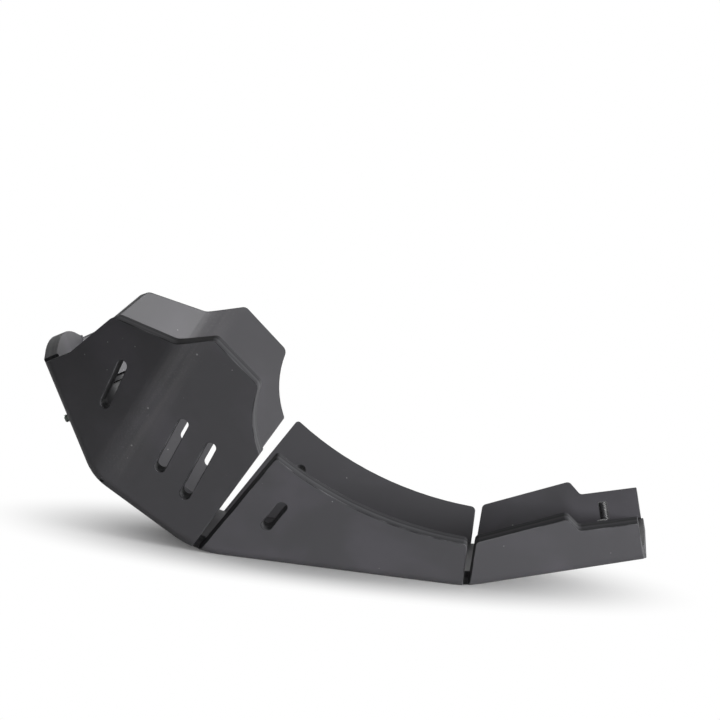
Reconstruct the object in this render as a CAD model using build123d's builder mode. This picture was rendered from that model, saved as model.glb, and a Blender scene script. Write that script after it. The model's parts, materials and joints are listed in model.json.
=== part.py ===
"""Motorcycle skid plate: one thick plastic sheet, cut and hot-folded, with its clamp strap and bolts.

Millimetres and degrees. +X points to the rear of the motorcycle, +Z up. The origin is on the underside,
in the middle of the flat bottom panel. The plate is the same on both sides, so one half is made, on the
-Y side, and mirrored.
"""

import os
from math import cos, radians, sin, tan

from build123d import *

# Sheet and strip: four panels of one width, in line under the engine
sheet = 8.0
strip_width = 168.0
bottom_length = 157.7
front_lower_length = 72.4
front_lower_rise = 29.0
front_upper_length = 71.5
front_upper_rise = 60.4
rear_length = 103.5
rear_rise = 16.2
rear_overhang = 1.4
lip_height = 6.0
lip_crown = 3.5
lip_foot_inset = 4.0
lip_foot_rise = 2.0
lip_inset = 30.0
lip_corner = 6.0

# Wings: how far each leans out from square to its panel
front_wing_nose_lean = 29.5
front_wing_lean = 25.0
mid_wing_lean = 28.2
rear_wing_lean = 29.3

# Folds
side_fold_radius = 8.0
nose_fold_radius = 32.0
knee_fold_radius = 60.0
heel_fold_radius = 60.0
soft_bend_radius = 34.0
slit_bend_radius = 10.0
relief_hole_radius = 1.4
relief_hole_back = 4.8

# Front wing outline, along its fold and up the wing, in the nose facet and then in the main facet
nose_step_height = 19.5
nose_step_rise = 0.4
nose_peak_rise = 10.4
nose_peak_height = 56.5
nose_peak_corner = 6.0
notch_height = 105.2
notch_corner = 9.0
crest_run = 16.3
crest_slope = 45.7
crest_corner = 4.0
shoulder_along = 46.8
shoulder_height = 114.5
shoulder_corner = 5.0
scallop_depth = 4.0
heel_tip_height = 78.6
heel_tip_corner = 2.0

# Slits: the edge ahead is square to its fold, and the edge behind leans with the next panel
front_slit_setback = 2.7
mid_wing_setback = 2.5
rear_slit_setback = 2.1
rear_wing_setback = 1.8
slit_root = 6.0

# Mid wing outline
mid_tip_height = 71.0
mid_tip_corner = 2.0
mid_end_height = 29.2
mid_sag = 9.3
slit_mouth_corner = 3.0

# Rear wing outline
rear_front_height = 29.3
rear_step_along = 64.0
rear_step_height = 35.8
rear_step_run = 5.5
rear_step_drop = 9.5
rear_step_corner = 3.0
rear_tail_drop = 1.0

# Slots in the wings: middle along the fold and up the wing, length between the end centres, turn
slot_width = 6.4
nose_slot_along = 25.8
nose_slot_height = 38.9
nose_slot_length = 26.6
nose_slot_turn = -52.0
first_slot_along = 26.1
first_slot_height = 48.6
first_slot_length = 32.4
second_slot_along = 46.8
second_slot_height = 45.5
second_slot_length = 35.0
main_slot_turn = 96.3
mid_slot_along = 43.9
mid_slot_height = 31.6
mid_slot_length = 15.4
mid_slot_turn = 62.2

# Drain openings in the bottom and front lower panels
drain_plug_radius = 17.0
drain_plug_along = 42.0
drain_slot_length = 34.0
bottom_drain_along = 118.0
drain_spread = 62.0

# Front clamp: two frame tubes held against the front upper panel
tube_radius = 14.0
tube_seat_gap = 0.3
tube_spacing = 88.0
strap_width = 20.0
strap_thickness = 2.5
strap_bend_radius = 4.0
strap_foot_gap = 2.0
front_bolt_spacing = 30.0
front_bolt_down = 37.2

# Fasteners
hole_clearance = 0.3
thread_clearance = 0.1
thread_end_chamfer = 0.7
front_thread_radius = 2.5
front_bolt_length = 20.0
head_across_flats = 8.0
head_height = 3.5
washer_radius = 5.0
washer_thickness = 1.0
nut_across_flats = 8.0
nut_height = 4.0
rear_thread_radius = 3.0
shank_radius = 2.7
rear_bolt_spacing = 110.0
rear_bolt_inset = 21.0
rear_bolt_length = 20.0
button_radius = 5.3
button_height = 3.2
button_chamfer = 1.8
socket_across_flats = 4.0
socket_depth = 2.0
bush_radius = 5.0
bush_fit = 0.1
bush_flange_radius = 9.0
bush_flange = 1.5
sunk_hole_radius = 9.6
sunk_hole_depth = 5.0

# Worked out from the sizes above
half_width = strip_width / 2
stock = strip_width + front_upper_length + front_lower_length + bottom_length + rear_length
cut_through = 3 * sheet
front_bolt_places = [(front_bolt_down, side * front_bolt_spacing / 2) for side in (-1, 1)]
rear_bolt_places = [(rear_length - rear_bolt_inset, side * rear_bolt_spacing / 2) for side in (-1, 1)]


def rise(start, length, angle):
    """The end of a panel that climbs from a point in the side view; a negative length runs forward."""
    return start + Vector(length * cos(radians(angle)), 0, abs(length) * sin(radians(angle)))


knee = Vector(-bottom_length / 2, 0, 0)
heel = Vector(bottom_length / 2, 0, 0)
nose = rise(knee, -front_lower_length, front_lower_rise)
brow = rise(nose, -front_upper_length, front_upper_rise)
tail = rise(heel, rear_length, rear_rise)


def panel_plane(front, back):
    """Outer face of a strip panel: x runs back along the panel, y to the -Y side, z out of the sheet."""
    along = (back - front).normalized()
    return Plane(front, x_dir=along, z_dir=Vector(along.Z, 0, -along.X))


def wing_plane(front, back, lean):
    """Outer face of a wing: x runs back along its fold, y up the wing, z out of the sheet."""
    along = (back - front).normalized()
    inward = Vector(-along.Z, 0, along.X)
    out = Vector(0, -cos(radians(lean)), 0) - inward * sin(radians(lean))
    return Plane(front + Vector(0, -half_width, 0), x_dir=along, z_dir=out)


front_upper = panel_plane(brow, nose)
front_lower = panel_plane(nose, knee)
bottom = panel_plane(knee, heel)
rear = panel_plane(heel, tail)
nose_facet = wing_plane(brow, nose, front_wing_nose_lean)
front_wing = wing_plane(nose, knee, front_wing_lean)
mid_wing = wing_plane(knee, heel, mid_wing_lean)
rear_wing = wing_plane(heel, tail, rear_wing_lean)
panels = [front_upper, front_lower, bottom, rear]
wings = [nose_facet, front_wing, mid_wing, rear_wing]


def fold_line(block, first, second):
    """The edge in which two flat faces of a block meet."""
    return block.edges().filter_by(
        lambda edge: all(abs(face.to_local_coords(edge @ 0.5).Z) < 0.01 for face in (first, second))
    )


def near_side_fold(edge):
    """True for an edge that runs along the fold between the strip and the wings."""
    return all(abs((edge @ place).Y + half_width) < side_fold_radius / 4 for place in (0, 0.5, 1))


def folded_block(inset):
    """The space under the folded sheet's outer face, or under the face that lies inset into the sheet."""
    with BuildPart() as block:
        with Locations((0, inset, -sheet)):
            Box(
                2 * stock + inset,
                stock + inset,
                stock + inset,
                align=(Align.CENTER, Align.MAX, Align.MIN),
            )
        faces = [face.offset(-inset) for face in panels + wings]
        for face in faces:
            split(bisect_by=face, keep=Keep.BOTTOM)
        folds = [
            (faces[0], faces[1], nose_fold_radius),
            (faces[1], faces[2], knee_fold_radius),
            (faces[2], faces[3], heel_fold_radius),
            (faces[4], faces[5], soft_bend_radius),
            (faces[5], faces[6], slit_bend_radius),
            (faces[6], faces[7], slit_bend_radius),
        ]
        for first, second, radius in folds:
            fillet(fold_line(block, first, second), radius=radius - inset)
        if inset == 0:
            fillet(block.edges().filter_by(near_side_fold), radius=side_fold_radius)
    return block.part


outer_block = folded_block(0)
inner_block = folded_block(sheet)

# Corners of the front wing: the notch lies on the soft bend, where its two facets meet
bend = nose_facet.z_dir.cross(front_wing.z_dir).normalized()
bend = bend if bend.Z > 0 else -bend
notch = nose + Vector(0, -half_width, 0) + bend * notch_height
notch_on_nose = nose_facet.to_local_coords(notch)
notch_on_wing = front_wing.to_local_coords(notch)
below_fold = -2 * sheet
past_bend = 3 * sheet


def round_corner(outline, corner, radius):
    """Round the corner of an outline that lies nearest a point."""
    fillet(outline.vertices().sort_by_distance(corner)[0], radius)


with BuildPart() as kept:
    # Strip, up to the roots of the slits
    with BuildSketch(Plane.XZ) as strip_side:
        with BuildLine():
            front_end = brow + front_upper.z_dir * sheet
            rear_end = rise(heel, rear_length + rear_overhang, rear_rise) + rear.z_dir * sheet
            front_inside = brow - front_upper.z_dir * 2 * sheet
            rear_inside = rear_end - rear.z_dir * 3 * sheet
            Polyline(
                [
                    (front_end.X, front_end.Z),
                    (knee.X, -bottom_length),
                    (rear_end.X, rear_end.Z),
                    (rear_inside.X, rear_inside.Z),
                    (front_inside.X, front_inside.Z),
                ],
                close=True,
            )
        make_face()
    extrude(amount=half_width - slit_root)

    # Lip of the front upper panel, above the wings
    with BuildSketch(front_upper) as lip:
        lip_top = -lip_height - lip_crown
        lip_end = Vector(-lip_height, half_width - lip_inset, 0)
        lip_foot = half_width - lip_foot_inset
        with BuildLine():
            TangentArc((lip_top, 0), (lip_end.X, lip_end.Y), tangent=(0, 1))
            Polyline(
                [
                    (lip_end.X, lip_end.Y),
                    (-lip_foot_rise, lip_foot),
                    (sheet, lip_foot),
                    (sheet, 0),
                    (lip_top, 0),
                ]
            )
        make_face()
        round_corner(lip, lip_end, lip_corner)
    extrude(amount=cut_through, both=True)

    # Front wing, nose facet
    with BuildSketch(nose_facet) as nose_outline:
        nose_peak = Vector(-nose_peak_rise, nose_peak_height, 0)
        top_run = (notch_on_nose - nose_peak).normalized()
        top_end = notch_on_nose + top_run * past_bend
        nose_end = front_upper_length + past_bend
        with BuildLine():
            Polyline(
                [
                    (0, below_fold),
                    (0, 0),
                    (-nose_step_rise, nose_step_height),
                    (nose_peak.X, nose_peak.Y),
                    (top_end.X, top_end.Y),
                    (nose_end, below_fold),
                ],
                close=True,
            )
        make_face()
        round_corner(nose_outline, nose_peak, nose_peak_corner)
    extrude(amount=cut_through, both=True)

    # Front wing, main facet
    with BuildSketch(front_wing) as front_outline:
        crest_run_up = Vector(cos(radians(crest_slope)), sin(radians(crest_slope)), 0)
        crest_start = notch_on_wing - crest_run_up * past_bend
        crest = notch_on_wing + crest_run_up * crest_run / cos(radians(crest_slope))
        shoulder = Vector(shoulder_along, shoulder_height, 0)
        slit_edge = front_lower_length - front_slit_setback
        heel_tip = Vector(slit_edge, heel_tip_height, 0)
        with BuildLine():
            Polyline(
                [
                    (heel_tip.X, heel_tip.Y),
                    (slit_edge, below_fold),
                    (-past_bend, below_fold),
                    (crest_start.X, crest_start.Y),
                    (crest.X, crest.Y),
                    (shoulder.X, shoulder.Y),
                ]
            )
            SagittaArc((shoulder.X, shoulder.Y), (heel_tip.X, heel_tip.Y), -scallop_depth)
        make_face()
        round_corner(front_outline, crest, crest_corner)
        round_corner(front_outline, shoulder, shoulder_corner)
        round_corner(front_outline, heel_tip, heel_tip_corner)
    extrude(amount=cut_through, both=True)

    # Mid wing
    with BuildSketch(mid_wing) as mid_outline:
        mid_slant = tan(radians(front_lower_rise))
        mid_tip = Vector(mid_tip_height * mid_slant + mid_wing_setback, mid_tip_height, 0)
        mid_end = Vector(bottom_length - rear_slit_setback, mid_end_height, 0)
        with BuildLine():
            Polyline(
                [
                    (mid_tip.X, mid_tip.Y),
                    (below_fold * mid_slant + mid_wing_setback, below_fold),
                    (mid_end.X, below_fold),
                    (mid_end.X, mid_end.Y),
                ]
            )
            SagittaArc((mid_end.X, mid_end.Y), (mid_tip.X, mid_tip.Y), mid_sag)
        make_face()
        round_corner(mid_outline, mid_tip, mid_tip_corner)
        round_corner(mid_outline, mid_end, slit_mouth_corner)
    extrude(amount=cut_through, both=True)

    # Rear wing
    with BuildSketch(rear_wing) as rear_outline:
        rear_slant = tan(radians(rear_rise))
        rear_front = Vector(rear_front_height * rear_slant + rear_wing_setback, rear_front_height, 0)
        step_top = Vector(rear_step_along, rear_step_height, 0)
        step_foot = step_top + Vector(rear_step_run, -rear_step_drop, 0)
        with BuildLine():
            Polyline(
                [
                    (rear_front.X, rear_front.Y),
                    (step_top.X, step_top.Y),
                    (step_foot.X, step_foot.Y),
                    (rear_length, step_foot.Y - rear_tail_drop),
                    (rear_length, below_fold),
                    (below_fold * rear_slant + rear_wing_setback, below_fold),
                ],
                close=True,
            )
        make_face()
        round_corner(rear_outline, rear_front, slit_mouth_corner)
        round_corner(rear_outline, step_top, rear_step_corner)
        round_corner(rear_outline, step_foot, rear_step_corner)
    extrude(amount=cut_through, both=True)

with BuildPart() as skid_plate:
    add(outer_block)
    add(inner_block, mode=Mode.SUBTRACT)
    add(kept.part, mode=Mode.INTERSECT)

    # Notch between the two facets of the front wing
    mid_sheet = notch - (nose_facet.z_dir + front_wing.z_dir).normalized() * sheet / 2
    fillet(skid_plate.edges().sort_by_distance(mid_sheet)[0], notch_corner)

    # Slots in the wings
    with BuildSketch(nose_facet):
        with Locations((nose_slot_along, nose_slot_height)):
            SlotCenterToCenter(nose_slot_length, slot_width, rotation=nose_slot_turn)
    with BuildSketch(front_wing):
        with Locations((first_slot_along, first_slot_height)):
            SlotCenterToCenter(first_slot_length, slot_width, rotation=main_slot_turn)
        with Locations((second_slot_along, second_slot_height)):
            SlotCenterToCenter(second_slot_length, slot_width, rotation=main_slot_turn)
    with BuildSketch(mid_wing):
        with Locations((mid_slot_along, mid_slot_height)):
            SlotCenterToCenter(mid_slot_length, slot_width, rotation=mid_slot_turn)
    extrude(amount=cut_through, both=True, mode=Mode.SUBTRACT)

    # Relief hole just behind the corner where the nose folds meet
    relief_axis = (nose_facet.z_dir + front_wing.z_dir + front_upper.z_dir + front_lower.z_dir).normalized()
    relief_place = nose + front_lower.x_dir * relief_hole_back + Vector(0, -half_width, 0)
    with BuildSketch(Plane(relief_place, z_dir=relief_axis)):
        Circle(relief_hole_radius)
    extrude(amount=cut_through, both=True, mode=Mode.SUBTRACT)

    mirror(about=Plane.XZ)

    # Drain openings
    with BuildSketch(bottom):
        with Locations((drain_plug_along, 0)):
            Circle(drain_plug_radius)
        with Locations((bottom_drain_along, drain_spread / 2), (bottom_drain_along, -drain_spread / 2)):
            SlotCenterToCenter(drain_slot_length, slot_width)
    with BuildSketch(front_lower):
        with Locations(
            (front_lower_length / 2, drain_spread / 2),
            (front_lower_length / 2, -drain_spread / 2),
        ):
            SlotCenterToCenter(drain_slot_length, slot_width)
    extrude(amount=cut_through, both=True, mode=Mode.SUBTRACT)

    # Bolt holes
    with BuildSketch(front_upper):
        with Locations(*front_bolt_places):
            Circle(front_thread_radius + hole_clearance)
    with BuildSketch(rear):
        with Locations(*rear_bolt_places):
            Circle(bush_radius + bush_fit)
    extrude(amount=cut_through, both=True, mode=Mode.SUBTRACT)
    with BuildSketch(rear):
        with Locations(*rear_bolt_places):
            Circle(sunk_hole_radius)
    extrude(amount=-sunk_hole_depth, mode=Mode.SUBTRACT)

# Clamp strap: lies on the inside of the front upper panel between the tubes, and goes round each tube
strap_seat = front_upper.offset(-sheet)
strap_section = Plane(
    strap_seat.from_local_coords(Vector(front_bolt_down, 0, 0)),
    x_dir=front_upper.y_dir,
    z_dir=-front_upper.x_dir,
)
with BuildPart() as front_clamp_strap:
    with BuildSketch(strap_section):
        tube_near = tube_spacing / 2 - tube_radius
        tube_far = tube_spacing / 2 + tube_radius
        tube_level = tube_radius + tube_seat_gap
        with BuildLine() as strap_line:
            FilletPolyline(
                [(0, 0), (tube_near, 0), (tube_near, tube_level)],
                radius=strap_bend_radius + strap_thickness,
            )
            RadiusArc((tube_near, tube_level), (tube_far, tube_level), tube_radius)
            Line((tube_far, tube_level), (tube_far, strap_foot_gap))
            offset(amount=strap_thickness, side=Side.LEFT)
        make_face()
        mirror(about=Plane.YZ)
    extrude(amount=strap_width / 2, both=True)
    with BuildSketch(strap_seat):
        with Locations(*front_bolt_places):
            Circle(front_thread_radius + hole_clearance)
    extrude(amount=-strap_thickness, mode=Mode.SUBTRACT)

# Front bolts: heads on the strap, thread ends past the nuts
strap_top = strap_seat.offset(-strap_thickness)
with BuildPart() as front_bolts:
    with BuildSketch(strap_top):
        with Locations(*front_bolt_places):
            RegularPolygon(head_across_flats / 2, 6, major_radius=False)
    extrude(amount=-head_height)
    with BuildSketch(strap_top):
        with Locations(*front_bolt_places):
            Circle(front_thread_radius)
    extrude(amount=front_bolt_length)
    bolt_ends = front_bolts.faces().sort_by(Axis(strap_top.origin, strap_top.z_dir))[-2:]
    chamfer(bolt_ends.edges(), thread_end_chamfer)

with BuildPart() as front_washers:
    with BuildSketch(front_upper):
        with Locations(*front_bolt_places):
            Circle(washer_radius)
            Circle(front_thread_radius + hole_clearance, mode=Mode.SUBTRACT)
    extrude(amount=washer_thickness)

with BuildPart() as front_nuts:
    with BuildSketch(front_upper.offset(washer_thickness)):
        with Locations(*front_bolt_places):
            RegularPolygon(nut_across_flats / 2, 6, major_radius=False)
            Circle(front_thread_radius + thread_clearance, mode=Mode.SUBTRACT)
    extrude(amount=nut_height)

# Rear bushes and bolts: sunk into the underside of the rear panel, threads up towards the frame
sunk_floor = rear.offset(-sunk_hole_depth)
with BuildPart() as rear_bushes:
    with BuildSketch(sunk_floor):
        with Locations(*rear_bolt_places):
            Circle(bush_flange_radius)
    extrude(amount=bush_flange)
    with BuildSketch(sunk_floor):
        with Locations(*rear_bolt_places):
            Circle(bush_radius)
    extrude(amount=sunk_hole_depth - sheet)
    with BuildSketch(sunk_floor):
        with Locations(*rear_bolt_places):
            Circle(rear_thread_radius + hole_clearance)
    extrude(amount=cut_through, both=True, mode=Mode.SUBTRACT)

head_seat = sunk_floor.offset(bush_flange)
with BuildPart() as rear_bolts:
    with BuildSketch(head_seat):
        with Locations(*rear_bolt_places):
            Circle(button_radius)
    extrude(amount=button_height)
    rear_heads = rear_bolts.faces().sort_by(Axis(head_seat.origin, head_seat.z_dir))[-2:]
    chamfer(rear_heads.edges(), button_chamfer)
    with BuildSketch(head_seat.offset(button_height)):
        with Locations(*rear_bolt_places):
            RegularPolygon(socket_across_flats / 2, 6, major_radius=False)
    extrude(amount=-socket_depth, mode=Mode.SUBTRACT)
    with BuildSketch(head_seat):
        with Locations(*rear_bolt_places):
            Circle(shank_radius)
    extrude(amount=-rear_bolt_length)
    with BuildSketch(rear.offset(-sheet)):
        with Locations(*rear_bolt_places):
            Circle(rear_thread_radius)
    extrude(amount=sheet - sunk_hole_depth + bush_flange - rear_bolt_length)
    rear_ends = rear_bolts.faces().sort_by(Axis(head_seat.origin, head_seat.z_dir))[:2]
    chamfer(rear_ends.edges(), thread_end_chamfer)

pieces = {
    "skid_plate": skid_plate,
    "front_clamp_strap": front_clamp_strap,
    "front_bolts": front_bolts,
    "front_washers": front_washers,
    "front_nuts": front_nuts,
    "rear_bushes": rear_bushes,
    "rear_bolts": rear_bolts,
}
os.makedirs("parts", exist_ok=True)
for name, piece in pieces.items():
    piece.part.label = name
    export_step(piece.part, f"parts/{name}.step")
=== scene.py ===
"""Motorcycle skid plate: the looks of one folded black plastic sheet, its clamp strap and its bolts.

Metres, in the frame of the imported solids: +X to the rear of the motorcycle, +Z up, and the side that
faces the camera at -Y. The plate has the same shape on both sides.
"""

import json
from math import ceil, cos, hypot, pi, radians, tan
from typing import NamedTuple

import bmesh
import bpy
from mathutils import Matrix, Vector
from mathutils.bvhtree import BVHTree


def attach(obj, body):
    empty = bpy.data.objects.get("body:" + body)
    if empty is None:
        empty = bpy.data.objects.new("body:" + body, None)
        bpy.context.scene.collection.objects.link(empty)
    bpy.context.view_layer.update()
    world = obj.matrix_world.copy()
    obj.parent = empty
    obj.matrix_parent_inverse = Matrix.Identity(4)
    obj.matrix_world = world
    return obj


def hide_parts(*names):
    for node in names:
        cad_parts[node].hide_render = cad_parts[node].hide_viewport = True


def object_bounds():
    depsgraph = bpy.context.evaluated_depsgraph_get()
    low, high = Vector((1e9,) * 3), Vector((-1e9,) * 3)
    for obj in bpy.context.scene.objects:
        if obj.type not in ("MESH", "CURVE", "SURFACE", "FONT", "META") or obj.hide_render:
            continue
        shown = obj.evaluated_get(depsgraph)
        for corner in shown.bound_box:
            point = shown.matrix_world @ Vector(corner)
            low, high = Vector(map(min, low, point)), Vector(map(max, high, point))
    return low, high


bl_info = {
    "name": "Motorcycle skid plate",
    "version": (1, 0, 0),
    "blender": (4, 5, 0),
    "location": "View3D > Sidebar > Skid plate",
    "description": "Finishes the folded plastic sheet, the clamp strap and the bolts, and sets up the studio",
    "category": "Object",
}

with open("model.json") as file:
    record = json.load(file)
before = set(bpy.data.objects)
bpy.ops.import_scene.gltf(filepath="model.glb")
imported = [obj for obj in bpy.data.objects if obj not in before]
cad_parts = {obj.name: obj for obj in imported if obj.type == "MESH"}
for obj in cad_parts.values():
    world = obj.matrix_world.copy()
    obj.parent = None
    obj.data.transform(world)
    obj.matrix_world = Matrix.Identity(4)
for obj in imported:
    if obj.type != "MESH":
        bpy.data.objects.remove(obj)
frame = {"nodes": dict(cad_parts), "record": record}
cad_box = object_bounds()
nodes = frame["nodes"]
mounts = {mount["name"]: mount for mount in frame["record"]["mounts"]}

BODY = "root"
MM_PER_M = 1000
SIDES = (-1, 1)
SIDE_AXIS = Vector((0, 1, 0))
TUBE_AXIS = Vector(mounts["frame_tube_left"]["axis"])
FRONT_BOLT_AXIS = TUBE_AXIS.cross(SIDE_AXIS)
REAR_BOLT_AXIS = -Vector(mounts["rear_bolt_left"]["axis"])

# Mesh clean-up
MERGE_DISTANCE = 1e-6
FLAT_ANGLE = radians(0.2)
SHARP_ANGLE = radians(38)
SMOOTH_ANGLE = radians(40)

# The folded sheet's materials, and the ray, in thicknesses of the sheet, that finds a skin's other side
SKIN, CUT_EDGE, BROKEN_EDGE = range(3)
RAY_START = 0.01
RAY_REACH = 1.45

# Turned pieces: the end face of a hexagon and the rim of a socket are radii in widths across the flats
RING_POINTS = 48
DOME_STEPS = 6
HEX_CHAMFER = radians(30)
HEX_FACE = 0.475
SOCKET_RIM = 0.6

# Threads: depth and flats in pitches, and how far each runs into its head, as a share of the head's height
THREAD_STEPS = 24
THREAD_DEPTH = 0.58
ROOT_FLAT = 0.25
CREST_FLAT = 0.125
SPARE_TURNS = 2
RUN_INTO_HEX = 0.5
RUN_INTO_BUTTON = 0.25

# Chips on the near side of the front wing
CHIPS = (
    Vector((-0.1135, -0.1093, 0.0812)),
    Vector((-0.1210, -0.0980, 0.0577)),
    Vector((-0.0883, -0.1295, 0.1167)),
)
CHIP_CORE = 0.0002
CHIP_RIM = 0.0008

# Faint creases that fork on the same side of that wing
CREASE_FORK = Vector((-0.0902, -0.1175, 0.0883))
CREASE_ENDS = (
    Vector((-0.0901, -0.1243, 0.1050)),
    Vector((-0.1142, -0.0915, 0.0379)),
    Vector((-0.0546, -0.1132, 0.0580)),
)
CREASE_WIDTH = 0.006
CREASE_HEIGHT = 0.00005


class Layer(NamedTuple):
    """A layer of noise in a finish, and how far it changes the colour, the roughness and the height.

    The noise has lumps of a spacing, which the settings give where it is 0 here, with some detail and twist.
    It fades in between low and high.
    """

    spacing: float = 0.0
    detail: float = 2.0
    twist: float = 0.0
    low: float = 0.0
    high: float = 1.0
    colour: float = 0.0
    roughness: float = 0.0
    height: float = 0.0


# Skin of the sheet
WAVES = Layer(detail=1.0)
GRAIN = Layer(roughness=0.12)
STREAKS = Layer(0.0055, low=0.35, high=0.75, colour=0.34)
POWDER = Layer(0.0012, detail=3.0, low=0.5, high=0.8, colour=0.25)
CLOUDS = Layer(0.03, detail=3.0, low=0.5, high=0.72, roughness=0.1)
SMUDGES = Layer(0.045, detail=3.0, twist=0.3, low=0.42, high=0.72, colour=0.7)
SCUFFS = Layer(0.0025, detail=4.0, twist=0.4, low=0.62, high=0.78, colour=0.25, roughness=0.08)
SMUDGE_START = Vector((0.31, 0.02, 0.0))
STREAK_SQUEEZE = 0.05
SCUFF_SQUEEZE = 0.25
BAND_RUN_IN = 0.02
STRETCH_HEIGHT = 0.00016

# Dust on the skin: a speck fades out past its core, a share of its radius, and a share of the cells has one
DUST_SPACING = 0.009
DUST_RADIUS = 0.00045
DUST_KEPT = 0.9
DUST_CORE = 0.6
DUST_SHARE = 0.4

# Cut and broken edges of the sheet
CUTTER_LINES = Layer(detail=3.0, low=0.35, high=0.65, colour=0.6, roughness=0.2)
CUTTER_WANDER = Layer(0.02, detail=1.0)
CUTTER_GRIT = Layer(0.0004, height=0.000004)
CUT_PATCHES = Layer(0.025, colour=0.15, roughness=0.15)
WANDER_DEPTH = 0.0006
WANDER_DRIFT = 0.0004
SCRAPES = Layer(0.012, detail=3.0, low=0.3, high=0.7)
CHATTER = Layer(0.0012, roughness=0.2, height=0.00003)

# Black steel and zinc plate
PEEL = Layer(0.0011, roughness=0.16, height=0.00003)
RUBBED = Layer(0.006, detail=4.0, low=0.62, high=0.72, colour=0.6, roughness=0.05)
RUB_SPECKLE = Layer(0.0007, low=0.4, high=0.6)
ZINC_CLOUDS = Layer(0.004, detail=3.0, low=0.35, high=0.65, roughness=0.2)
TURNING_MARKS = Layer(0.0004, roughness=0.12, height=0.000006)

# The value that noise lies round, and the roughness that it moves up and down on three finishes
NOISE_MIDDLE = 0.5
BROKEN_EDGE_ROUGHNESS = 0.55
STEEL_ROUGHNESS = 0.42
ZINC_ROUGHNESS = 0.36

# Shader values that are the same all over a surface
SATIN = {"IOR": 1.5, "Specular IOR Level": 0.5}
DULL = {"IOR": 1.5, "Specular IOR Level": 0.3}
METAL = {"Metallic": 1.0}
WHITE = (1.0, 1.0, 1.0, 1.0)
CARD_BLACK = (0.01, 0.01, 0.01, 1.0)

# The inputs and the output of a Mix node that are for colours
MIX_FIRST = 6
MIX_SECOND = 7
MIX_RESULT = 2

# Stage: the floor's corners, the rise at which reflections show the full ceiling, and the camera
FLOOR_POINTS = 96
CEILING_FULL = 0.7
SENSOR_WIDTH = 36.0
CLIP_END = 100.0


class Softbox(NamedTuple):
    """A rectangular soft lamp that faces a point, and the setting that gives its power."""

    name: str
    spot: tuple
    target: tuple
    width: float
    height: float
    power: str
    mirrored: bool = True


SOFTBOXES = (
    Softbox("key_softbox", (1.65, -1.25, 0.26), (0.05, -0.05, 0.04), 1.1, 0.46, "key_power"),
    Softbox("top_softbox", (-0.1, 0.6, 1.3), (0.0, 0.0, 0.0), 0.3, 0.6, "top_power"),
    Softbox("fill_softbox", (0.9, -2.1, 0.4), (0.0, 0.0, 0.05), 1.2, 0.7, "fill_power"),
    Softbox("rim_softbox", (-1.2, 0.6, 0.25), (-0.15, 0.0, 0.06), 0.3, 0.3, "rim_power"),
    Softbox("back_softbox", (-0.2, 2.0, 0.6), (0.0, 0.0, 0.05), 2.0, 0.7, "back_power", mirrored=False),
)


def size(name, description, default):
    """A length that a user may change."""
    return bpy.props.FloatProperty(
        name=name, description=description, default=default, min=0.0, precision=5, unit="LENGTH"
    )


def share(name, description, default):
    """A number from 0 to 1 that a user may change."""
    return bpy.props.FloatProperty(
        name=name, description=description, default=default, min=0.0, max=1.0, subtype="FACTOR"
    )


def colour(name, description, default):
    """A linear colour that a user may change."""
    return bpy.props.FloatVectorProperty(
        name=name, description=description, default=default, min=0.0, max=1.0, subtype="COLOR"
    )


def place(name, description, default):
    """A point in the frame of the solids that a user may change."""
    return bpy.props.FloatVectorProperty(
        name=name, description=description, default=default, precision=5, subtype="XYZ", unit="LENGTH"
    )


def turn(name, description, default):
    """An angle that a user may change."""
    return bpy.props.FloatProperty(name=name, description=description, default=default, subtype="ANGLE")


def power(name, description, default):
    """The power of a lamp that a user may change."""
    return bpy.props.FloatProperty(
        name=name, description=description, default=default, min=0.0, unit="POWER"
    )


class SkidPlateSheetSettings(bpy.types.PropertyGroup):
    """Sizes and colours of the folded plastic sheet."""

    sheet: size("Sheet", "Thickness of the sheet", 0.008)
    edge_break: size("Edge break", "Width of the broken edge along every cut", 0.0005)
    bend_foot: place("Bend foot", "Where the front wing's soft bend starts", (-0.1422, 0.084, 0.0351))
    bend_top: place("Bend top", "The notch at the top of the soft bend", (-0.1005, 0.1285, 0.1208))
    # The stretched band is paler plastic and also a painted highlight along the soft bend; its shift sets
    # where that highlight falls
    bend_band: size("Bend band", "Reach of the stretched band to each side of its middle", 0.016)
    bend_shift: size("Bend shift", "How far behind the soft bend the stretched band has its middle", 0.006)
    wave_size: size("Wave size", "Spacing of the sheet's slow waves", 0.085)
    wave_height: size("Wave height", "Height of the sheet's slow waves", 0.0007)
    grain_size: size("Grain size", "Spacing of the moulded grain", 0.0007)
    grain_height: size("Grain height", "Height of the moulded grain", 0.00002)
    milling_pitch: size("Milling pitch", "Spacing of the cutter's lines on the cut edges", 0.0022)
    milling_height: size("Milling height", "Height of the cutter's lines", 0.00003)
    skin_colour: colour("Skin", "Black plastic of the two faces", (0.0545, 0.0535, 0.0585))
    smudge_colour: colour("Smudges", "Skin where hands and rags have been", (0.0730, 0.0700, 0.0800))
    # Stretched plastic, and a painted highlight on the soft bend
    stretch_and_highlight_colour: colour("Stretched skin", "Plastic paled by the fold", (0.120, 0.117, 0.118))
    # Darker than the skin: painted shade on the cut edges, not the plastic's own tone
    painted_shade_edge_colour: colour("Cut edge", "Plastic where the cutter went", (0.018, 0.018, 0.020))
    arris_colour: colour("Broken edge", "Plastic along the broken edges", (0.085, 0.085, 0.090))
    dust_colour: colour("Dust", "Specks of dust and chips", (0.45, 0.45, 0.45))
    skin_roughness: share("Skin roughness", "Roughness of the two faces", 0.5)
    edge_roughness: share("Edge roughness", "Roughness of the cut edges", 0.6)


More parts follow.
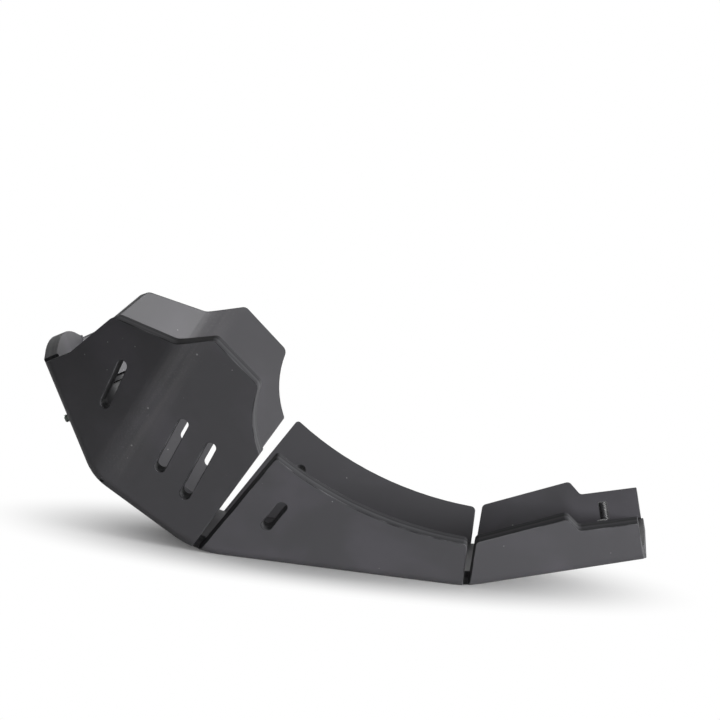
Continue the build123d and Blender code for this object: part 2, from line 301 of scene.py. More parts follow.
class SkidPlateHardwareSettings(bpy.types.PropertyGroup):
    """Sizes and colours of the strap and the fasteners."""

    strap_edge: size("Strap edge", "Rounding of the strap's edges", 0.0004)
    front_thread: size("Front thread", "Radius of the front bolts' threads", 0.0025)
    front_pitch: size("Front pitch", "Pitch of the front bolts' threads", 0.0008)
    rear_pitch: size("Rear pitch", "Pitch of the rear bolts' threads", 0.001)
    thread_end: size("Thread end", "Chamfer at the end of the threads", 0.0007)
    small_edge: size("Small edge", "Chamfer of washers, bushes and nut bores", 0.00025)
    head_height: size("Head height", "Height of the front bolts' heads", 0.0035)
    button_height: size("Button height", "Height of the rear bolts' round heads", 0.0032)
    button_wall: size("Button wall", "Height of the straight wall below the round", 0.0012)
    button_top: size("Button top", "Radius of the flat on top of the round heads", 0.0033)
    socket_flats: size("Socket", "Across the flats of the rear bolts' sockets", 0.004)
    socket_depth: size("Socket depth", "Depth of the rear bolts' sockets", 0.002)
    flange: size("Flange", "Thickness of the bushes' flange", 0.0015)
    bush_sleeve: size("Sleeve", "Outer radius of the bushes' sleeve", 0.005)
    bolt_clearance: size("Clearance", "Gap between a thread and a plain hole", 0.0003)
    steel_colour: colour("Black steel", "Painted strap and blackened bolts", (0.030, 0.030, 0.032))
    worn_colour: colour("Worn steel", "Steel where the black has rubbed thin", (0.16, 0.155, 0.15))
    zinc_colour: colour("Zinc", "Dull zinc plate", (0.42, 0.45, 0.43))
    dull_zinc_colour: colour("Dull zinc", "Zinc plate gone dull", (0.27, 0.30, 0.28))


class SkidPlateStageSettings(bpy.types.PropertyGroup):
    """The floor, the light and the camera."""

    floor_radius: size("Floor", "Radius of the floor", 6.0)
    floor_near: size("Near floor", "Radius in which the floor is lit by the lamps alone", 0.08)
    floor_far: size("Far floor", "Radius past which the floor is plain white", 0.22)
    floor_shine: size("Shining floor", "Radius past which the floor is plain white in reflections", 1.0)
    floor_colour: colour("Floor colour", "Colour of the floor", (0.92, 0.92, 0.92))
    sky: share("Sky", "Level of the light from all round", 0.05)
    ceiling: share("Ceiling", "Level of the ceiling in reflections", 0.10)
    key_power: power("Key", "Power of the softbox at the right", 72.0)
    top_power: power("Top", "Power of the softbox overhead", 0.8)
    fill_power: power("Fill", "Power of the weak softbox in front", 4.5)
    rim_power: power("Rim", "Power of the small softbox behind the nose", 4.0)
    back_power: power("Back", "Power of the softbox behind the plate", 26.0)
    card_place: place("Card", "Middle of the dark card's low edge, on the floor", (-0.24, -0.19, 0.002))
    card_size: size("Card size", "Width and length of the dark card", 0.45)
    card_rise: turn("Card rise", "How steeply the dark card rises away from the plate", radians(25))
    card_turn: turn("Card turn", "Which way the dark card runs from its low edge", radians(218))
    aim: place("Aim", "Point in the middle of the picture", (0.00223, -0.08398, 0.12189))
    distance: size("Distance", "From the camera to the aim", 3.5)
    azimuth: turn("Azimuth", "How far the camera stands round to the rear", radians(2.4))
    elevation: turn("Elevation", "How far the camera looks down", radians(4.1))
    pitch: turn("Pitch", "How far the plate is tilted in the picture, nose up", radians(7.13))
    lens: bpy.props.FloatProperty(
        name="Lens",
        description="Focal length of the camera on a 36 mm sensor",
        default=305.375,
        unit="CAMERA",
    )


class Wire:
    """A shader value: arithmetic on it adds Math nodes, and node() adds any other node to its tree."""

    def __init__(self, tree, socket=None):
        self.tree = tree
        self.socket = socket

    def node(self, kind, settings, inputs, output=0):
        """Adds a node, sets its settings, then its sockets' values or links, and gives one output."""
        made = self.tree.nodes.new(kind)
        for name, value in settings.items():
            setattr(made, name, value)
        for key, value in inputs.items():
            if isinstance(value, Wire):
                self.tree.links.new(value.socket, made.inputs[key])
            else:
                made.inputs[key].default_value = value
        return Wire(self.tree, made.outputs[output] if made.outputs else None)

    def math(self, operation, *values, clamp=False):
        """A Math node on some values, in order."""
        settings = {"operation": operation, "use_clamp": clamp}
        return self.node("ShaderNodeMath", settings, dict(enumerate(values)))

    def __add__(self, other):
        return self.math("ADD", self, other)

    def __radd__(self, other):
        return self.math("ADD", other, self)

    def __sub__(self, other):
        return self.math("SUBTRACT", self, other)

    def __rsub__(self, other):
        return self.math("SUBTRACT", other, self)

    def __mul__(self, other):
        return self.math("MULTIPLY", self, other)

    def __rmul__(self, other):
        return self.math("MULTIPLY", other, self)

    def __truediv__(self, other):
        return self.math("DIVIDE", self, other)

    def __rtruediv__(self, other):
        return self.math("DIVIDE", other, self)

    def __abs__(self):
        return self.math("ABSOLUTE", self)

    def __gt__(self, other):
        return self.math("GREATER_THAN", self, other)

    def clamped(self):
        """The value held between 0 and 1."""
        return self.math("ADD", self, 0.0, clamp=True)

    def eased(self, low, high):
        """0 at low and 1 at high, with a smooth run between."""
        inputs = {"Value": self, "From Min": low, "From Max": high}
        return self.node("ShaderNodeMapRange", {"interpolation_type": "SMOOTHSTEP"}, inputs)

    def blend(self, first, second):
        """A colour between two, by this value."""
        inputs = {0: self, MIX_FIRST: first, MIX_SECOND: second}
        return self.node("ShaderNodeMix", {"data_type": "RGBA"}, inputs, MIX_RESULT)

    def dot(self, direction):
        """How far this vector reaches along a direction."""
        return self.node("ShaderNodeVectorMath", {"operation": "DOT_PRODUCT"}, {0: self, 1: direction}, 1)

    def less(self, point):
        """This vector, from a point."""
        return self.node("ShaderNodeVectorMath", {"operation": "SUBTRACT"}, {0: self, 1: point})

    def length(self):
        """How long this vector is."""
        return self.node("ShaderNodeVectorMath", {"operation": "LENGTH"}, {0: self}, 1)

    def joined(self, x, y, z):
        """A vector of three values."""
        return self.node("ShaderNodeCombineXYZ", {}, {0: x, 1: y, 2: z})

    def part(self, index):
        """One of this vector's three values."""
        return self.node("ShaderNodeSeparateXYZ", {}, {0: self}, index)

    def noise(self, layer, spacing=None):
        """A layer's soft noise round a half, on this vector; the spacing may come from the settings."""
        inputs = {
            "Vector": self,
            "Scale": 1 / (spacing or layer.spacing),
            "Detail": layer.detail,
            "Distortion": layer.twist,
        }
        return self.node("ShaderNodeTexNoise", {}, inputs)

    def faded(self, layer):
        """This noise, faded in between the layer's low and high."""
        return self.eased(layer.low, layer.high)

    def swing(self, layer):
        """What this noise adds to the roughness, up and down."""
        return (self - NOISE_MIDDLE) * layer.roughness


def whole(colour_value):
    """A colour with its alpha."""
    return (*colour_value, 1.0)


def empty_tree(owner):
    """Gives a material or a world an empty node tree, and a wire to build on."""
    owner.use_nodes = True
    owner.node_tree.nodes.clear()
    return Wire(owner.node_tree)


def start_material(name):
    """A node material, a wire to build on and the piece's own coordinates."""
    material = bpy.data.materials.new(name)
    wire = empty_tree(material)
    return material, wire, wire.node("ShaderNodeTexCoord", {}, {}, "Object")


def finish_material(wire, base, roughness, height, constants):
    """The shader and the output; height is in metres, and constants go on the shader's own sockets."""
    normal = wire.node("ShaderNodeBump", {}, {"Strength": 1.0, "Distance": 1.0, "Height": height})
    inputs = {"Base Color": base, "Roughness": roughness, "Normal": normal, **constants}
    shader = wire.node("ShaderNodeBsdfPrincipled", {}, inputs)
    wire.node("ShaderNodeOutputMaterial", {}, {"Surface": shader})


def dust_specks(wire, spot):
    """1 on a sparse scatter of small spots, and on the chips."""
    settings = {"feature": "F1"}
    inputs = {"Vector": spot, "Scale": 1 / DUST_SPACING, "Randomness": 1.0}
    near = wire.node("ShaderNodeTexVoronoi", settings, inputs, "Distance")
    cell = wire.node("ShaderNodeTexVoronoi", settings, inputs, "Color").part(0)
    rim = DUST_RADIUS / DUST_SPACING
    dust = (1 - near.eased(rim * DUST_CORE, rim)) * (cell > 1 - DUST_KEPT)
    for chip in CHIPS:
        dust = dust.math("MAXIMUM", dust, 1 - spot.less(chip).length().eased(CHIP_CORE, CHIP_RIM))
    return dust


def creases(spot):
    """1 along the faint creases that fork on the front wing, with a soft run to each side."""
    away = 1.0
    for end in CREASE_ENDS:
        line = end - CREASE_FORK
        share_along = (spot.less(CREASE_FORK).dot(line) / line.length_squared).clamped()
        nearest = share_along.joined(*(share_along * part for part in line))
        gap = spot.less(CREASE_FORK).less(nearest).length().eased(0.0, CREASE_WIDTH)
        away = gap * away
    return 1 - away


def skin_material(settings):
    """Black plastic sheet: fine grain, slow waves, stretch and a painted highlight along the soft bend, dust
    and scuffs.
    """
    material, wire, spot = start_material("black_plastic_skin")
    foot = Vector(settings.bend_foot)
    bend = (Vector(settings.bend_top) - foot).normalized()
    across_bend = bend.cross(SIDE_AXIS).normalized()
    one_side = wire.joined(spot.part(0), abs(spot.part(1)), spot.part(2)).less(foot)
    along = one_side.dot(bend)
    across = one_side.dot(across_bend) + settings.bend_shift

    # A paler band along the soft bend: stretched plastic, and a painted highlight where the bend catches
    # light
    band = (1 - abs(across).eased(0.0, settings.bend_band)) * along.eased(0.0, BAND_RUN_IN)
    streaks = wire.joined(across, along * STREAK_SQUEEZE, 0.0).noise(STREAKS).faded(STREAKS)
    powder = spot.noise(POWDER).faded(POWDER)
    stretch_and_highlight = band * (streaks * STREAKS.colour + powder * POWDER.colour)

    waves = spot.noise(WAVES, settings.wave_size)
    grain = spot.noise(GRAIN, settings.grain_size)
    clouds = spot.noise(CLOUDS)
    smudges = spot.less(SMUDGE_START).noise(SMUDGES).faded(SMUDGES)
    scuff_lines = wire.joined(spot.part(0) * SCUFF_SQUEEZE, spot.part(1), spot.part(2)).noise(SCUFFS)
    scuffs = scuff_lines.faded(SCUFFS) * clouds.faded(CLOUDS)
    crease = creases(spot)
    dust = dust_specks(wire, spot)

    base = (smudges * SMUDGES.colour).blend(whole(settings.skin_colour), whole(settings.smudge_colour))
    # Paling along the soft bend: stretched plastic and painted highlight
    base = stretch_and_highlight.clamped().blend(base, whole(settings.stretch_and_highlight_colour))
    base = (scuffs * SCUFFS.colour).blend(base, whole(settings.arris_colour))
    base = (dust * DUST_SHARE).blend(base, whole(settings.dust_colour))
    roughness = settings.skin_roughness + grain.swing(GRAIN) + clouds.swing(CLOUDS)
    roughness = roughness + scuffs * SCUFFS.roughness
    height = waves * settings.wave_height + grain * settings.grain_height
    height = height + stretch_and_highlight * STRETCH_HEIGHT + crease * CREASE_HEIGHT
    finish_material(wire, base, roughness, height, SATIN)
    return material


def edge_material(settings):
    """Cut edge: the cutter's lines run along it, at an even depth into the sheet."""
    material, wire, spot = start_material("milled_plastic_edge")
    depth = wire.node("ShaderNodeAttribute", {"attribute_name": "sheet_depth"}, {}, "Fac")
    wander = spot.noise(CUTTER_WANDER) - NOISE_MIDDLE
    across = wire.joined(depth + wander * WANDER_DEPTH, wander * WANDER_DRIFT, 0.0)
    lines = across.noise(CUTTER_LINES, settings.milling_pitch)
    grit = spot.noise(CUTTER_GRIT)
    patches = spot.noise(CUT_PATCHES)
    mix = lines.faded(CUTTER_LINES) * CUTTER_LINES.colour + patches * CUT_PATCHES.colour
    # The cut edges' dark base is painted shade; the cutter's lines and patches pale it
    base = mix.clamped().blend(whole(settings.painted_shade_edge_colour), whole(settings.arris_colour))
    roughness = settings.edge_roughness + lines.swing(CUTTER_LINES) + patches.swing(CUT_PATCHES)
    height = lines * settings.milling_height + grit * CUTTER_GRIT.height
    finish_material(wire, base, roughness, height, DULL)
    return material


def arris_material(settings):
    """Broken edge: scraped plastic, paler in patches."""
    material, wire, spot = start_material("broken_plastic_edge")
    scrapes = spot.noise(SCRAPES).faded(SCRAPES)
    chatter = spot.noise(CHATTER)
    # The broken edges run from the painted-shade dark of the cut edges to scraped, paler plastic
    base = scrapes.blend(whole(settings.painted_shade_edge_colour), whole(settings.arris_colour))
    roughness = BROKEN_EDGE_ROUGHNESS + chatter.swing(CHATTER)
    finish_material(wire, base, roughness, chatter * CHATTER.height, DULL)
    return material


def black_steel_material(settings):
    """Painted steel: fine orange peel, rubbed thin in small patches."""
    material, wire, spot = start_material("black_steel")
    peel = spot.noise(PEEL)
    rub = spot.noise(RUBBED).faded(RUBBED) * spot.noise(RUB_SPECKLE).faded(RUB_SPECKLE)
    base = (rub * RUBBED.colour).blend(whole(settings.steel_colour), whole(settings.worn_colour))
    roughness = STEEL_ROUGHNESS + peel.swing(PEEL) - rub * RUBBED.roughness
    finish_material(wire, base, roughness, peel * PEEL.height, SATIN)
    return material


def zinc_material(settings):
    """Zinc plate: dull clouds and fine turning marks."""
    material, wire, spot = start_material("zinc_plate")
    clouds = spot.noise(ZINC_CLOUDS)
    marks = spot.noise(TURNING_MARKS)
    base = clouds.faded(ZINC_CLOUDS).blend(whole(settings.dull_zinc_colour), whole(settings.zinc_colour))
    roughness = ZINC_ROUGHNESS + clouds.swing(ZINC_CLOUDS) + marks.swing(TURNING_MARKS)
    finish_material(wire, base, roughness, marks * TURNING_MARKS.height, METAL)
    return material


def direct_rays(wire):
    """Two values: 1 for what the camera sees, and 1 for what shows in a reflection or through glass."""
    kinds = ("Camera", "Glossy", "Transmission")
    camera, glossy, glass = (wire.node("ShaderNodeLightPath", {}, {}, f"Is {kind} Ray") for kind in kinds)
    return camera, (glossy + glass).clamped()


def floor_material(settings):
    """A pale floor that the lamps light near the plate, and that is plain white further out."""
    material, wire, spot = start_material("studio_floor")
    away = spot.length()
    seen, mirrored = direct_rays(wire)
    far = away.eased(settings.floor_near, settings.floor_far) * seen
    far_in_mirror = away.eased(settings.floor_shine / 2, settings.floor_shine) * mirrored
    diffuse = wire.node("ShaderNodeBsdfDiffuse", {}, {"Color": whole(settings.floor_colour)})
    white = wire.node("ShaderNodeEmission", {}, {"Color": WHITE, "Strength": 1.0})
    factor = (far + far_in_mirror).clamped()
    surface = wire.node("ShaderNodeMixShader", {}, {0: factor, 1: diffuse, 2: white})
    wire.node("ShaderNodeOutputMaterial", {}, {"Surface": surface})
    return material


def card_material():
    """Plain black card."""
    material = bpy.data.materials.new("black_card")
    wire = empty_tree(material)
    dark = wire.node("ShaderNodeBsdfDiffuse", {}, {"Color": CARD_BLACK})
    wire.node("ShaderNodeOutputMaterial", {}, {"Surface": dark})
    return material


def merged_copy(node):
    """A mesh to work on, from a solid's loose triangles."""
    bm = bmesh.new()
    bm.from_mesh(nodes[node].data)
    bmesh.ops.remove_doubles(bm, verts=bm.verts, dist=MERGE_DISTANCE)
    return bm


def smooth_regions(bm):
    """Lists of the faces that meet each other without a sharp edge."""
    seen = set()
    regions = []
    for first in bm.faces:
        if first in seen:
            continue
        seen.add(first)
        region = [first]
        for face in region:
            soft = [edge for edge in face.edges if edge.calc_face_angle(pi) < SHARP_ANGLE]
            near = [other for edge in soft for other in edge.link_faces if other not in seen]
            near = list(dict.fromkeys(near))
            seen.update(near)
            region.extend(near)
        regions.append(region)
    return regions


def sort_skin(bm, sheet, hollow):
    """Gives each face the skin's or the cut edge's material, and lists the skin faces turned from the hollow.

    A region of faces is skin where, behind most of its area, the sheet's other side is about a sheet away.
    """
    tree = BVHTree.FromBMesh(bm)
    outer = []
    for region in smooth_regions(bm):
        backed = 0.0
        for face in region:
            inward = -face.normal
            start = face.calc_center_median() + inward * (sheet * RAY_START)
            hit = tree.ray_cast(start, inward, sheet * RAY_REACH)
            backed += face.calc_area() if hit[0] else 0.0
        is_skin = backed > sum(face.calc_area() for face in region) / 2
        for face in region:
            face.material_index = SKIN if is_skin else CUT_EDGE
            if is_skin and face.normal.dot(face.calc_center_median() - hollow) > 0:
                outer.append(face)
    return outer


def search_tree(faces):
    """A tree that finds the nearest point on some faces, as they are now."""
    corners = {}
    for face in faces:
        for vert in face.verts:
            corners.setdefault(vert, len(corners))
    points = [vert.co.copy() for vert in corners]
    return BVHTree.FromPolygons(points, [[corners[vert] for vert in face.verts] for face in faces])


def break_edges(bm, width):
    """Makes flat faces whole, rounds every sharp edge over a small width, and gives the new faces."""
    bmesh.ops.dissolve_limit(
        bm, angle_limit=FLAT_ANGLE, verts=bm.verts, edges=bm.edges, delimit={"MATERIAL"}
    )
    sharp = [edge for edge in bm.edges if edge.is_manifold and edge.calc_face_angle() > SHARP_ANGLE]
    made = bmesh.ops.bevel(
        bm,
        geom=sharp,
        offset=width,
        offset_type="OFFSET",
        affect="EDGES",
        segments=2,
        profile=0.5,
        material=-1,
        clamp_overlap=False,
        loop_slide=True,
    )
    return made["faces"]


def add_object(bm, name, materials):
    """Makes an object of a mesh, with its materials, in the scene."""
    mesh = bpy.data.meshes.new(name)
    bm.to_mesh(mesh)
    bm.free()
    for material in materials:
        mesh.materials.append(material)
    made = bpy.data.objects.new(name, mesh)
    bpy.context.scene.collection.objects.link(made)
    return made


def finish_piece(bm, name, materials, slot, *replaced):
    """Makes a piece of a mesh: smooth with crisp folds, riding on the plate in place of some solids."""
    piece = add_object(bm, name, materials)
    mesh = piece.data
    if "custom_normal" in mesh.attributes:
        mesh.attributes.remove(mesh.attributes["custom_normal"])
    mesh.shade_smooth()
    mesh.set_sharp_from_angle(angle=SMOOTH_ANGLE)
    normals = piece.modifiers.new("Flat faces lead", "WEIGHTED_NORMAL")
    normals.keep_sharp = True
    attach(piece, BODY)
    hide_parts(*replaced)


def solid_frames(node, axis):
    """For each of a node's two solids: a matrix from its low end up its axis, and its spans in that frame."""
    across = SIDE_AXIS.cross(axis).normalized()
    found = []
    for side in SIDES:
        points = [vert.co for vert in nodes[node].data.vertices if vert.co.y * side > 0]
        spans = []
        for direction in (across, SIDE_AXIS, axis):
            reach = [point.dot(direction) for point in points]
            spans.append((min(reach), max(reach)))
        middle = [(low + high) / 2 for low, high in spans]
        foot = across * middle[0] + SIDE_AXIS * middle[1] + axis * spans[2][0]
        matrix = Matrix((across, SIDE_AXIS, axis)).transposed().to_4x4()
        matrix.translation = foot
        found.append((matrix, [high - low for low, high in spans]))
    return found


def set_ring(verts, radius, height, flats=0.0, slope=0.0, away=1):
    """Sets verts round the z axis on a circle, or on a hexagon whose corners fall away from the height."""
    for vert in verts:
        heading = vert.co.xy.normalized()
        angle = Vector((1, 0)).angle_signed(heading)
        reach = flats / 2 / cos(angle % (pi / 3) - pi / 6) if flats else radius
        fall = max(0.0, reach - radius) * tan(slope)
        vert.co = (*(heading * reach), height - away * fall)


def turned(bm, outline, closed):
    """Draws a circle out from point to point of an outline, and joins its ends or caps them.

    A point is a radius and a height, and for a hexagon what else set_ring takes.
    """
    verts = bmesh.ops.create_circle(bm, segments=RING_POINTS, radius=1.0, cap_ends=False)["verts"]
    set_ring(verts, *outline[0])
    first = list({edge for vert in verts for edge in vert.link_edges})
    last = first
    for point in outline[1:] + (outline[:1] if closed else []):
        drawn = bmesh.ops.extrude_edge_only(bm, edges=last)["geom"]
        set_ring([item for item in drawn if isinstance(item, bmesh.types.BMVert)], *point)
        last = [item for item in drawn if isinstance(item, bmesh.types.BMEdge) and item.is_boundary]
    if closed:
        bmesh.ops.remove_doubles(bm, verts=bm.verts, dist=MERGE_DISTANCE)
    else:
        for end in (first, last):
            bmesh.ops.edgeloop_fill(bm, edges=end)


def add_thread(bm, radius, pitch, bottom, top, chamfer):
    """A screw thread on the z axis between two heights, closed and chamfered at both ends."""
    root = radius - pitch * THREAD_DEPTH
    outline = [
        (root, 0.0),
        (root, ROOT_FLAT / 2),
        (radius, (1 - CREST_FLAT) / 2),
        (radius, (1 + CREST_FLAT) / 2),
        (root, 1 - ROOT_FLAT / 2),
        (root, 1.0),
    ]
    turns = ceil((top - bottom) / pitch) + SPARE_TURNS
    verts = [bm.verts.new((reach, 0, bottom + (share_up - 1) * pitch)) for reach, share_up in outline]
    edges = [bm.edges.new(pair) for pair in zip(verts, verts[1:])]
    bmesh.ops.spin(
        bm,
        geom=verts + edges,
        cent=(0, 0, 0),
        axis=(0, 0, 1),
        dvec=(0, 0, pitch / THREAD_STEPS),
        angle=2 * pi * turns,
        steps=THREAD_STEPS * turns,
        use_merge=False,
        use_duplicate=False,
    )
    bmesh.ops.remove_doubles(bm, verts=bm.verts, dist=MERGE_DISTANCE)
    for height, up in ((bottom, -1), (top, 1)):
        geom = bm.verts[:] + bm.edges[:] + bm.faces[:]
        bmesh.ops.bisect_plane(
            bm, geom=geom, plane_co=(0, 0, height), plane_no=(0, 0, up), clear_outer=True, dist=MERGE_DISTANCE
        )
        bmesh.ops.holes_fill(bm, edges=[edge for edge in bm.edges if edge.is_boundary], sides=0)
    for vert in bm.verts:
        reach = hypot(vert.co.x, vert.co.y)
        limit = radius - chamfer + min(top - vert.co.z, vert.co.z - bottom)
        if reach > limit:
            vert.co.xy *= limit / reach


def placed_pair(build, spots):
    """One mesh with a copy of a shape at each place; build makes it on the z axis."""
    joined = bmesh.new()
    for matrix, spans in spots:
        one = bmesh.new()
        build(one, spans)
        bmesh.ops.recalc_face_normals(one, faces=one.faces)
        bmesh.ops.transform(one, matrix=matrix, verts=one.verts)
        scratch = bpy.data.meshes.new("scratch")
        one.to_mesh(scratch)
        one.free()
        joined.from_mesh(scratch)
        bpy.data.meshes.remove(scratch)
    return joined


class SKIDPLATE_OT_folded_sheet(bpy.types.Operator):
    """Finish the folded sheet: broken edges, and materials for its skin, its cut edges and the breaks"""

    bl_idname = "skidplate.folded_sheet"
    bl_label = "Folded sheet"

    def execute(self, context):
        settings = context.scene.skid_plate_sheet
        bm = merged_copy("skid_plate")
        hollow = Vector((0, 0, settings.bend_top[2] / 2))
        skin = search_tree(sort_skin(bm, settings.sheet, hollow))
        for face in break_edges(bm, settings.edge_break):
            face.material_index = BROKEN_EDGE
        depth = bm.verts.layers.float.new("sheet_depth")
        for vert in bm.verts:
            vert[depth] = skin.find_nearest(vert.co)[3]
        materials = [skin_material(settings), edge_material(settings), arris_material(settings)]
        finish_piece(bm, "folded_sheet", materials, "black_sheet", "skid_plate")
        return {"FINISHED"}


class SKIDPLATE_OT_clamp_strap(bpy.types.Operator):
    """Finish the clamp strap: rolled edges and black paint"""

    bl_idname = "skidplate.clamp_strap"
    bl_label = "Clamp strap"

    def execute(self, context):
        settings = context.scene.skid_plate_hardware
        bm = merged_copy("front_clamp_strap")
        break_edges(bm, settings.strap_edge)
        finish_piece(bm, "clamp_strap", [black_steel_material(settings)], "black_steel", "front_clamp_strap")
        return {"FINISHED"}


class SKIDPLATE_OT_front_fasteners(bpy.types.Operator):
    """Make the front bolts, washers and nuts, with chamfered hexagons and threads"""

    bl_idname = "skidplate.front_fasteners"
    bl_label = "Front fasteners"

    def execute(self, context):
        settings = context.scene.skid_plate_hardware
        zinc = zinc_material(settings)
        thread = settings.front_thread
        edge = settings.small_edge

        def bolt(bm, spans):
            """A hexagon head, chamfered on its outer face, and its thread."""
            flats = spans[1]
            face = flats * HEX_FACE
            root = settings.head_height * (1 - RUN_INTO_HEX)
            add_thread(bm, thread, settings.front_pitch, root, spans[2], settings.thread_end)
            outline = [
                (face, 0.0),
                (face, 0.0, flats, HEX_CHAMFER, -1),
                (face, settings.head_height, flats),
            ]
            turned(bm, outline, closed=False)

        def washer(bm, spans):
            """A flat ring with broken edges."""
            outer = spans[1] / 2
            hole = thread + settings.bolt_clearance
            outline = [
                (hole, 0.0),
                (outer - edge, 0.0),
                (outer, edge),
                (outer, spans[2] - edge),
                (outer - edge, spans[2]),
                (hole + edge, spans[2]),
                (hole, spans[2] - edge),
            ]
            turned(bm, outline, closed=True)

        def nut(bm, spans):
            """A hexagon, chamfered on both faces, with a countersunk bore."""
            flats = spans[1]
            face = flats * HEX_FACE
            outline = [
                (thread + edge, 0.0),
                (face, 0.0),
                (face, 0.0, flats, HEX_CHAMFER, -1),
                (face, spans[2], flats, HEX_CHAMFER, 1),
                (face, spans[2]),
                (thread + 2 * edge, spans[2]),
                (thread, spans[2] - 2 * edge),
                (thread, edge),
            ]
            turned(bm, outline, closed=True)

        for build, node, name in (
            (bolt, "front_bolts", "front_hex_bolts"),
            (washer, "front_washers", "front_flat_washers"),
            (nut, "front_nuts", "front_hex_nuts"),
        ):
            bm = placed_pair(build, solid_frames(node, FRONT_BOLT_AXIS))
            finish_piece(bm, name, [zinc], "zinc_steel", node)
        return {"FINISHED"}


class SKIDPLATE_OT_rear_fasteners(bpy.types.Operator):
    """Make the sunk rear bushes and the round-headed rear bolts, with sockets and threads"""

    bl_idname = "skidplate.rear_fasteners"
    bl_label = "Rear fasteners"

    def execute(self, context):
        settings = context.scene.skid_plate_hardware
        thread = mounts["rear_bolt_left"]["dims"]["r_mm"] / MM_PER_M
        edge = settings.small_edge

        def bush(bm, spans):
            """A sleeve with a flange at its top."""
            flange = spans[1] / 2
            hole = thread + settings.bolt_clearance
            seat = spans[2] - settings.flange
            outline = [
                (hole, 0.0),
                (settings.bush_sleeve, 0.0),
                (settings.bush_sleeve, seat),
                (flange, seat),
                (flange, spans[2] - edge),
                (flange - edge, spans[2]),
                (hole + edge, spans[2]),
                (hole, spans[2] - edge),
            ]
            turned(bm, outline, closed=True)

        def bolt(bm, spans):
            """A round head with a hexagon socket, and its thread."""
            top = spans[2]
            seat = top - settings.button_height
            head = spans[1] / 2
            root = seat + settings.button_height * RUN_INTO_BUTTON
            add_thread(bm, thread, settings.rear_pitch, 0.0, root, settings.thread_end)
            wall = seat + settings.button_wall
            rise = top - wall
            run = head - settings.button_top
            outline = [(head - edge, seat), (head, seat + edge), (head, wall)]
            for step in range(1, DOME_STEPS + 1):
                angle = step / DOME_STEPS * pi / 2
                outline.append((head - run * (1 - cos(angle)), wall + rise * cos(pi / 2 - angle)))
            outline += [
                (settings.socket_flats * SOCKET_RIM, top),
                (0.0, top - edge, settings.socket_flats),
                (0.0, top - settings.socket_depth, settings.socket_flats),
            ]
            turned(bm, outline, closed=False)

        for build, node, name, material, slot in (
            (bush, "rear_bushes", "rear_flanged_bushes", zinc_material(settings), "zinc_steel"),
            (bolt, "rear_bolts", "rear_button_bolts", black_steel_material(settings), "black_steel"),
        ):
            bm = placed_pair(build, solid_frames(node, REAR_BOLT_AXIS))
            finish_piece(bm, name, [material], slot, node)
        return {"FINISHED"}


def add_floor(settings):
    """A round floor at the foot of the plate."""
    bm = bmesh.new()
    bmesh.ops.create_circle(bm, segments=FLOOR_POINTS, radius=settings.floor_radius, cap_ends=True)
    bmesh.ops.translate(bm, verts=bm.verts, vec=(0, 0, cad_box[0].z))
    floor = add_object(bm, "studio_floor", [floor_material(settings)])


def add_card(settings):
    """A dark card that leans away from the nose, low over the floor, and that the camera doesn't see."""
    bm = bmesh.new()
    bmesh.ops.create_grid(bm, x_segments=1, y_segments=1, size=settings.card_size / 2)
    bmesh.ops.translate(bm, verts=bm.verts, vec=(settings.card_size / 2, 0, 0))
    leaning = Matrix.Rotation(settings.card_turn, 3, "Z") @ Matrix.Rotation(-settings.card_rise, 3, "Y")
    bmesh.ops.rotate(bm, verts=bm.verts, cent=(0, 0, 0), matrix=leaning)
    bmesh.ops.translate(bm, verts=bm.verts, vec=settings.card_place)
    card = add_object(bm, "black_card", [card_material()])
    card.visible_camera = False


def add_sky(settings):
    """White all round for the camera, a darker ceiling in reflections, and a weak even light."""
    world = bpy.data.worlds.new("studio")
    wire = empty_tree(world)
    seen, mirrored = direct_rays(wire)
    height = wire.node("ShaderNodeTexCoord", {}, {}, "Generated").part(2)
    shine = 1 - height.eased(0.0, CEILING_FULL) * (1 - settings.ceiling)
    shown = seen + mirrored * shine
    level = shown.math("MAXIMUM", shown, settings.sky)
    sky = wire.node("ShaderNodeBackground", {}, {"Color": WHITE, "Strength": level})
    wire.node("ShaderNodeOutputWorld", {}, {"Surface": sky})
    bpy.context.scene.world = world


def add_softbox(box, watts):
    """A lamp that the camera doesn't see, and that shows in reflections where it is mirrored."""
    lamp = bpy.data.lights.new(box.name, "AREA")
    lamp.shape = "RECTANGLE"
    lamp.size = box.width
    lamp.size_y = box.height
    lamp.energy = watts
    lamp_object = bpy.data.objects.new(box.name, lamp)
    lamp_object.location = box.spot
    facing = Vector(box.target) - Vector(box.spot)
    lamp_object.rotation_euler = facing.to_track_quat("-Z", "Y").to_euler()
    lamp_object.visible_camera = False
    lamp_object.visible_glossy = box.mirrored
    bpy.context.scene.collection.objects.link(lamp_object)


def add_camera(settings):
    """The camera, at the photograph's viewing angle."""
    lens = bpy.data.cameras.new("photo_camera")
    lens.sensor_width = SENSOR_WIDTH
    lens.lens = settings.lens
    lens.clip_end = CLIP_END
    camera = bpy.data.objects.new("photo_camera", lens)
    round_plate = Matrix.Rotation(settings.azimuth, 3, "Z")
    looking_down = Matrix.Rotation(pi / 2 - settings.elevation, 3, "X")
    aimed = Matrix.Rotation(-settings.pitch, 3, "Y") @ round_plate @ looking_down
    spot = Vector(settings.aim) + aimed.col[2] * settings.distance
    camera.matrix_world = Matrix.Translation(spot) @ aimed.to_4x4()
    bpy.context.scene.collection.objects.link(camera)
    bpy.context.scene.camera = camera


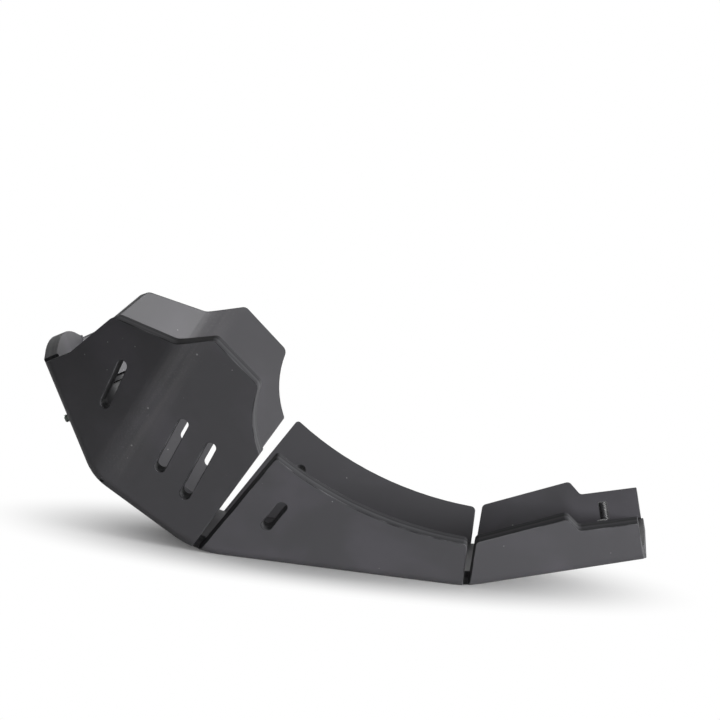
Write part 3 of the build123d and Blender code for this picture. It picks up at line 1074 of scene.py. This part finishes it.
class SKIDPLATE_OT_stage(bpy.types.Operator):
    """Make the pale floor, the soft light and the camera"""

    bl_idname = "skidplate.stage"
    bl_label = "Stage"

    def execute(self, context):
        settings = context.scene.skid_plate_stage
        context.scene.view_settings.view_transform = "Standard"
        add_floor(settings)
        add_sky(settings)
        for box in SOFTBOXES:
            add_softbox(box, getattr(settings, box.power))
        add_card(settings)
        add_camera(settings)
        return {"FINISHED"}


class SKIDPLATE_PT_looks(bpy.types.Panel):
    """Lists the settings and the pieces of the skid plate"""

    bl_idname = "SKIDPLATE_PT_looks"
    bl_label = "Skid plate"
    bl_space_type = "VIEW_3D"
    bl_region_type = "UI"
    bl_category = "Skid plate"

    def draw(self, context):
        layout = self.layout
        for group in SETTINGS:
            box = layout.box()
            settings = getattr(context.scene, group)
            for name in settings.bl_rna.properties.keys():
                if name not in ("rna_type", "name"):
                    box.prop(settings, name)
        for operator in OPERATORS:
            layout.operator(operator.bl_idname)


SETTINGS = {
    "skid_plate_sheet": SkidPlateSheetSettings,
    "skid_plate_hardware": SkidPlateHardwareSettings,
    "skid_plate_stage": SkidPlateStageSettings,
}
OPERATORS = [
    SKIDPLATE_OT_folded_sheet,
    SKIDPLATE_OT_clamp_strap,
    SKIDPLATE_OT_front_fasteners,
    SKIDPLATE_OT_rear_fasteners,
    SKIDPLATE_OT_stage,
]


def register():
    """Makes the settings, the operators and the panel known to Blender."""
    for made in (*SETTINGS.values(), *OPERATORS, SKIDPLATE_PT_looks):
        bpy.utils.register_class(made)
    for name, group in SETTINGS.items():
        setattr(bpy.types.Scene, name, bpy.props.PointerProperty(type=group))


def unregister():
    """Takes them away again."""
    for name in SETTINGS:
        delattr(bpy.types.Scene, name)
    for made in reversed((*SETTINGS.values(), *OPERATORS, SKIDPLATE_PT_looks)):
        bpy.utils.unregister_class(made)


def main():
    """Builds every piece and the stage."""
    register()
    bpy.ops.skidplate.folded_sheet()
    bpy.ops.skidplate.clamp_strap()
    bpy.ops.skidplate.front_fasteners()
    bpy.ops.skidplate.rear_fasteners()
    bpy.ops.skidplate.stage()


if __name__ == "__main__":
    main()
